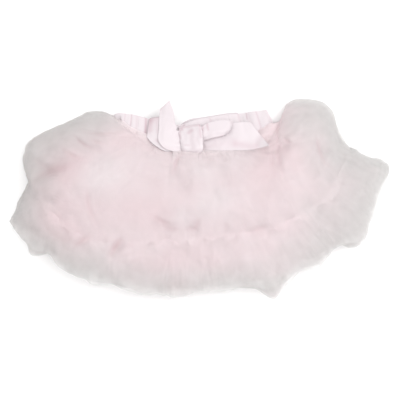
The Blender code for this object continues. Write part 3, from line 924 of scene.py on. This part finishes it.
WAIST_LAP = [
    # u, how far the net's gathers lap over the waistband, how high they puff
    (0, 0.5, 2), (0.03, 4, 4), (0.08, 3, 4), (0.16, 3, 3.4), (0.2, 3, 2.6), (0.26, 3, 1),
    (0.42, 4.5, 0.6), (0.55, 4, 0.6), (0.8, 3, 0.6), (0.88, 8, 3), (0.94, 14, 4),
    (0.96, 13, 4), (0.98, 9, 4), (1, 2.5, 3),
]


def band_top(u, down):
    """The height just over the waistband's face, where the net laps on it."""
    waist, (seam_z, edge_z) = curve(WAIST, u), band_heights(u)
    arch = curve(ARCH, u)[..., 0]
    width = np.linalg.norm(waist[..., 2:4] - waist[..., 0:2], axis=-1)
    share = np.clip(-down / width, 0, 1)
    swell = np.sin(np.pi * share) ** 0.6 * arch**0.5
    return seam_z + (edge_z - seam_z) * share + 1.9 * swell + 0.8


def waist_puff(down):
    """The swell of the net just past the waist seam."""
    return 3.4 * ease((down - 0.6) / 4.5) * bell(down / 20)


def lumps(xy, seed, broad, narrow, long, short):
    """A net's round swellings and its rumples, of four sizes."""
    return (
        2.8 * billow(xy, broad, seed + 1)
        + 1.2 * billow(xy, narrow, seed + 2)
        + rumples(xy, seed + 3, 200, long, 1.9)
        + rumples(xy, seed + 4, 300, short, 0.8)
    )


def over_back(z, least, xy, u, v, seed):
    """A net's front, raised where its back is gathered and kept clear of it."""
    z = z + 0.45 * np.maximum(curve(BACK_GATHERS, v)[..., 0], 0) * side_fade(u)
    return joined(lobed(xy, u, v, seed), np.maximum(z, least))


CORNERS = [
    # u, height, reach in v and in u, of the net's rise at the waist's corners
    (0, 8, 0.1, 0.012), (1, 13, 0.24, 0.016),
]
EDGE_LOW = 20  # how far past the tier's seam its free edge still comes lower
PACKED, PACKED_RIGHT = 16, 34  # how far down from the waist the net is packed


def upper_net(name, seed, inset, drop, floor, soft):
    """One net of the upper tier. drop is how far its front lies under the
    tier's own face, floor the height of its back, and soft scales its
    relief."""
    w, share, u = grid(UPPER_COLUMNS, UPPER_ROWS, inset, 1.3)
    seam = seam_v(u)
    edge_x = plan(u, seam)[..., 0]
    past = lip(edge_x) - drop * 0.8
    lap, lofty = np.moveaxis(curve(WAIST_LAP, u), -1, 0) * (0 if drop else 1)
    v = share * (seam + past / LENGTH) - (1 - share) ** 2 * lap / LENGTH
    down = v * LENGTH
    xy = plan(u, v)
    fade = side_fade(u)
    low = np.clip((v - seam) * LENGTH, 0, EDGE_LOW)
    height, gather = np.moveaxis(curve(UPPER_LOFT, np.clip(v / seam, 0, 1)), -1, 0)
    waves = 0.4 * gather * wave(w, WAVES / 2)
    height = height * curve(ARCH, u)[..., 0] * (1 + puffs(xy)) * (1 + waves)
    lump = lumps(xy, seed, 50, 23, 15, 8) * ease(share / 0.1 + 0.15)
    gathers = (
        folds(u, share, 90, seed + 4, 0.12) * ease(1 - share / 0.14)
        + 0.8 * folds(u, share, 160, seed + 5, 0.1) * ease(1 - share / 0.1)
        + 0.6 * folds(u, share, 60, seed + 6, 0.4) * ease((share - 0.8) / 0.2)
    )
    z = (
        height
        + 3.4 * side_fade(u, 0.012)
        - drop * side_fade(u, 0.05)
        + fade * (soft * (lump + gathers) + creases(xy))
        + 1.6 * fade * ease((share - 0.86) / 0.1)
        - 0.2 * low * fade
        + fade * waist_puff(down)
    )
    if not drop:
        rise = 1.5 * side_fade(u, 0.05) * ease((down + lap) / (lap + 4))
        z = z + rise * ease(1 - down / 34)
        # The net climbs from its edge on the band at no more than a gentle slope.
        climb = band_top(u, -lap) + (down + lap)
        near = np.clip(0.5 + (climb - z) / 8, 0, 1)
        z = climb + (z - climb) * near - 4 * near * (1 - near)
        over = band_top(u, down) + lofty * (1 - np.exp(-(down + lap) / 5))
        over = over + 0.35 * folds(u, share, 110, seed + 15, 0.3)
        z = z + np.maximum(over - z, 0) * ease(1 - down / 9) * side_fade(u, 0.012)
    bed = floor + back_bottom(w, u, v)
    front = over_back(z, bed + 0.3 * fade, xy, u, v, seed)
    if not drop:
        front = meet_bow(front, down, lap)
    few, many = folds(w, share, 60, seed + 8, 0.6), folds(w, share, 120, seed + 9, 0.3)
    lie = 0.35 * fade * (1 + few) + 0.5 * fade * ease(1 - share / 0.3) * (1 + many)
    v_back = share * (seam + 0.004)
    back = joined(lobed(plan(u, v_back), u, v_back, seed), bed + lie)
    corner = sum(
        height * ease(1 - v / deep) * bell((u - at) / wide)
        for at, height, deep, wide in CORNERS
    )
    front[..., 2] += corner
    back[..., 2] += corner
    packed = PACKED + PACKED_RIGHT * bell((1 - u) / 0.06)
    dense = 0.95 * ease(1 - down / packed)
    return tube(name, front, back, shades(xy, seed + 9), NET_UPPER, dense)


THINNED = 2.6  # how much more the shorter net of a pair thins out at its edge


def ruffle_net(name, seed, inset, drop, floor, soft, layer, further, material):
    """One net of the ruffle. layer names its reach in front, and further
    lengthens or shortens it."""
    w, share, u = grid(RUFFLE_COLUMNS, RUFFLE_ROWS, inset)
    start = seam_v(u) - 0.004
    ragged = 1.8 * noise(w * 34, 0.5, seed + 11) + 0.9 * noise(w * 84, 0.5, seed + 12)
    more = further + ragged * side_fade(u, 0.02)
    v_front = start + share * (hem_v(u, layer, more) - start)
    v_back = start + share * (hem_v(u, "back", more) - start)
    xy = plan(u, v_front)
    fade = side_fade(u)
    arch = curve(ARCH, u)[..., 0]
    height, gather = np.moveaxis(curve(RUFFLE_LOFT, share), -1, 0)
    full = 0.12 if layer == "front" else 0.6
    waves = gather * wave(w, WAVES) * (full + 0.3 * ease((share - 0.86) / 0.14))
    height = height * arch * (1 + puffs(xy)) * (1 + waves)
    lump = lumps(xy, seed, 46, 22, 14, 7.5)
    gathers = (
        0.3 * folds(u, share, 120, seed + 4, 0.25) * ease(1 - share / 0.3)
        + 0.16 * (0.2 + 0.8 * share) * folds(u, share, 70, seed + 5, 0.35)
        + 0.7 * share**2 * folds(u, share, 34, seed + 6, 0.6)
    )
    z = height + 4.2 * side_fade(u, 0.012) - drop(share) * side_fade(u, 0.05)
    z = z + fade * (soft * (lump + gathers) + creases(xy))
    bed = floor + back_bottom(w, u, v_front)
    front = over_back(z, bed + 0.6 * fade, xy, u, v_front, seed)
    front[..., 0] += soft * 1.2 * share * fade * folds(w, share, 34, seed + 14, 0.9)
    xy_back = lobed(plan(u, v_back), u, v_back, seed)
    lie = fade * (
        0.3 * (1 + folds(w, share, 60, seed + 8, 0.8))
        + 0.8 * share * (1 + folds(w, share, 34, seed + 9, 1.2))
    )
    back = joined(xy_back, floor + back_bottom(w, u, v_back) + lie)
    grey, rim, blush = shades(xy, seed + 9)
    rim = rim * (THINNED if further else 1)
    return tube(name, front, back, (grey, rim, blush), material)


def below(start, more):
    """How far a net lies below the ruffle's face: from its seam to its hem."""
    return lambda share: start + more * share


under = below(5, 6)


def lowest(share):
    return under(share) + 3 + share


NETS = [
    upper_net("net_upper_outer", 11, 0, 0, 0.15, 1),
    upper_net("net_upper_middle", 31, 0.004, 2.6, 0.75, 0.8),
    upper_net("net_upper_inner", 51, 0.008, 5.4, 1.35, 0.8),
]
RUFFLES = [
    # name, seed, inset, drop, floor, soft, layer, further, material
    ("net_ruffle_outer", 71, 0, below(0, 0), 0.15, 1, "front", 0, NET_RUFFLE),
    ("net_ruffle_inner", 91, 0.003, below(2.8, 1), 0.75, 0.9, "front", -2.5, NET_RUFFLE),
    ("net_under_outer", 111, 0.006, under, 1.3, 0.9, "under", 0, NET_UNDER),
    ("net_under_inner", 131, 0.009, lowest, 1.9, 0.9, "under", -2.5, NET_UNDER),
]
NETS += [ruffle_net(*row) for row in RUFFLES]
CARRIES = {
    # piece: its material's slot, the nodes that it replaces, what it rests on
    "net_upper_outer": ("tulle_upper", ["skirt_front"], ["net_upper_middle"]),
    "net_upper_middle": ("tulle_upper", [], ["net_upper_inner"]),
    "net_upper_inner": ("tulle_upper", ["skirt_back"], ["net_upper_middle"]),
    "net_ruffle_outer": ("tulle_ruffle", ["ruffle_front"], ["net_ruffle_inner"]),
    "net_ruffle_inner": ("tulle_ruffle", ["ruffle_back"], ["net_under_outer"]),
    "net_under_outer": ("tulle_under", ["under_ruffle_front"], ["net_under_inner"]),
    "net_under_inner": ("tulle_under", [], ["net_ruffle_inner"]),
}
for made, flat in NETS:
    slot, nodes, rests = CARRIES[made.name]
    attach(made, "root")
    if nodes:
        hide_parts(*nodes)
    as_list(rests)

# ---- waistband

BAND_COLUMNS, BAND_ROWS = 260, 14
BAND_TUCKS = [
    # u, half_width in u, depth, how much painted shade darkens it
    (0.04, 0.008, 0.8, 0.2), (0.083, 0.006, 1.2, 0.4), (0.118, 0.014, 0.6, 0.14),
    (0.17, 0.01, 0.5, 0.5), (0.455, 0.012, 0.8, 0.2), (0.64, 0.01, 0.8, 0.2),
    (0.82, 0.01, 1, 0.24), (0.88, 0.014, 0.8, 0.18), (0.935, 0.008, 1.1, 0.28),
]


def band_ring(share, inward):
    """One line round the flattened band: its front, a rounded side, its back
    and the other side. inward is the depth below the outer face."""
    w = np.linspace(0, 1, BAND_COLUMNS + 1)
    u = spread(w)
    swell = max(np.sin(np.pi * min(max(share, 0), 1)), 0) ** 0.6
    arch = curve(ARCH, u)[..., 0]
    pucker = 0.75 * folds(w, share, 44, 201, 1.8) + 0.35 * folds(w, share, 96, 203, 1)
    tucks = sum(d * bell((u - at) / half) for at, half, d, _ in BAND_TUCKS)
    front = band_point(u, np.full_like(u, share))
    front[:, 2] += (swell + (0.25 + 0.75 * swell) * pucker - tucks * swell) * arch**0.5
    front[:, 2] -= inward
    back = band_point(u, np.full_like(u, share))
    peek = ease((back[:, 0] + 30) / 10) * ease((54 - back[:, 0]) / 5)
    peek *= 1 + 0.6 * bell((back[:, 0] + 14) / 10)
    back[:, 1] += 2.4 * peek * share
    back[:, 2] = 0.12 + inward + 0.3 * arch * (1 + folds(w, share, 60, 205, 1.5))
    out = []
    turn = np.linspace(np.pi / 2, -np.pi / 2, 13)[1:-1]
    right_way = front[-1] - front[-6]
    right_way[2] = 0
    level = np.sign(np.sin(turn)) * np.abs(np.sin(turn)) ** 0.5
    left_bulge = 4.5 * share + 16 * max(share * (1 - share), 0)
    for end, way in ((-1, right_way), (0, np.array([-1, -0.3, 0]))):
        a, b = front[end], back[end]
        way = way / np.linalg.norm(way)
        middle, half = (a + b) / 2, (a[2] - b[2]) / 2
        bulge = max(0.3, 2.6 - inward) + (left_bulge if end == 0 else 0)
        out.append(
            middle
            + (np.cos(turn) ** 0.5)[:, None] * bulge * way
            + level[:, None] * np.array([0, 0, half])
        )
    return np.concatenate([front, out[0], back[::-1], out[1][::-1]])


# The band's free edge and its seam edge are folds of the satin, so they are
# round. Each row is a share and how far inward it lies.
ROLLED = [(1.012, 0.45), (1.018, 1), (1.012, 1.55)]
SEAM = [(-0.012, 1.55), (-0.018, 1), (-0.012, 0.45)]


def waistband():
    shares = np.linspace(0, 1, BAND_ROWS + 1)
    outer = [band_ring(s, 0) for s in shares]
    inner = [band_ring(s, SATIN) for s in shares[::-1]]
    rolled, seam = ([band_ring(s, d) for s, d in rows] for rows in (ROLLED, SEAM))
    points = np.stack(outer + rolled + inner + seam)
    points[..., 2] = np.maximum(points[..., 2], BAND_LOWEST)
    faces = quads(*points.shape[:2], 1, 1)[:, [0, 3, 2, 1]]
    made = mesh_object("satin_waistband", points.reshape(-1, 3), faces, SATIN_CLOTH)
    u = spread(np.linspace(0, 1, BAND_COLUMNS + 1))
    # The tucks get painted shade on the band's front.
    tucked = sum(deep * bell((u - at) / (0.7 * half)) for at, half, _, deep in BAND_TUCKS)
    deep, dull = tints("satin_waistband", points[..., :2])
    deep[:, : BAND_COLUMNS + 1] += tucked
    paint_points(made, deep=deep, dull=dull)
    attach(made, "root")
    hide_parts("waistband")
    length = float(steps(points[BAND_ROWS // 2], 0).sum())
    width = float(steps(points[: BAND_ROWS + 1], 0).sum(0).mean())


waistband()

# ---- bow


def ribbon(name, node, surface, b, tint):
    """A strip of ribbon on its middle surface, with woven edges a little
    thicker than the rest."""
    normal = np.cross(np.gradient(surface, axis=0), np.gradient(surface, axis=1))
    normal /= np.linalg.norm(normal, axis=-1, keepdims=True)
    edges = sum(bell((b - at) / 0.02) for at in (0.015, 0.985))
    wall = np.broadcast_to(RIBBON_WALL * (0.8 + 0.5 * edges), surface.shape[:2])[..., None]
    top, bottom = surface + normal * wall / 2, surface - normal * wall / 2
    ring = np.concatenate([top, bottom[:, ::-1]], axis=1)
    rows, n = ring.shape[:2]
    made = mesh_object(name, ring.reshape(-1, 3), quads(rows, n, 0, 1), SATIN_CLOTH)
    deep, dull = (np.concatenate([t, t[:, ::-1]], axis=1) for t in tint)
    paint_points(made, deep=deep, dull=dull)
    cap_ends(made, rows, n)
    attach(made, "root")
    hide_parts(node)
    width = float(steps(surface, 1).sum(1).mean())
    length = float(steps(surface, 0).sum(0).mean())


def cap_ends(made, rows, n):
    """Closes a ribbon's two cut ends."""
    work = bmesh.new()
    work.from_mesh(made.data)
    work.verts.ensure_lookup_table()
    half = n // 2
    for row in (0, rows - 1):
        first = row * n
        for k in range(half - 1):
            quad = [first + k, first + k + 1, first + n - 2 - k, first + n - 1 - k]
            if row:
                quad.reverse()
            work.faces.new([work.verts[i] for i in quad])
    bmesh.ops.recalc_face_normals(work, faces=work.faces)
    work.to_mesh(made.data)
    work.free()
    made.data.shade_smooth()


for name, node, shape in BOW:
    ribbon(name, node, *shape)

# ---- floor, light, eye

HALF, LOW = 2600, -0.05  # of the floor's side, and its height
ground = [(-HALF, -HALF, LOW), (HALF, -HALF, LOW), (HALF, HALF, LOW), (-HALF, HALF, LOW)]
pale = bpy.data.materials.new("floor")
pale.use_nodes = True
floor = mesh_object("floor", ground, [(0, 1, 2, 3)], pale, smooth=False)
paint = pale.node_tree.nodes["Principled BSDF"].inputs
paint["Base Color"].default_value = (0.97, 0.97, 0.97, 1)
paint["Roughness"].default_value = 0.9
paint["Specular IOR Level"].default_value = 0.1

world = bpy.data.worlds.new("studio")
bpy.context.scene.world = world
world.use_nodes = True
sky = world.node_tree.nodes["Background"].inputs
sky["Color"].default_value = (1, 0.995, 0.99, 1)
sky["Strength"].default_value = 0.99


def lamp(name, place, size, power):
    """A round lamp that shines at the origin."""
    data = bpy.data.lights.new(name, "AREA")
    data.shape, data.size, data.energy = "DISK", size, power
    made = bpy.data.objects.new(name, data)
    made.location = place
    made.rotation_mode = "QUATERNION"
    made.rotation_quaternion = (-made.location).to_track_quat("-Z", "Y")
    bpy.context.scene.collection.objects.link(made)


lamp("overhead", (0.1, 0.1, 2), 1.3, 7)
lamp("key", (1.2, 0.5, 1.5), 0.9, 10)

DISTANCE = 1.8  # of the camera over the floor, in metres
SHOWN, SHOWN_HEIGHT = 0.54, 0.015  # the width that it sees, and how high up
SENSOR = 36
eye = bpy.data.cameras.new("eye")
eye.sensor_width = SENSOR
eye.lens = SENSOR * (DISTANCE - SHOWN_HEIGHT) / SHOWN
eye.clip_start, eye.clip_end = 0.01, 20
camera = bpy.data.objects.new("eye", eye)
camera.location = (0, 0, DISTANCE)
bpy.context.scene.collection.objects.link(camera)
bpy.context.scene.camera = camera
bpy.context.scene.view_settings.view_transform = "Standard"
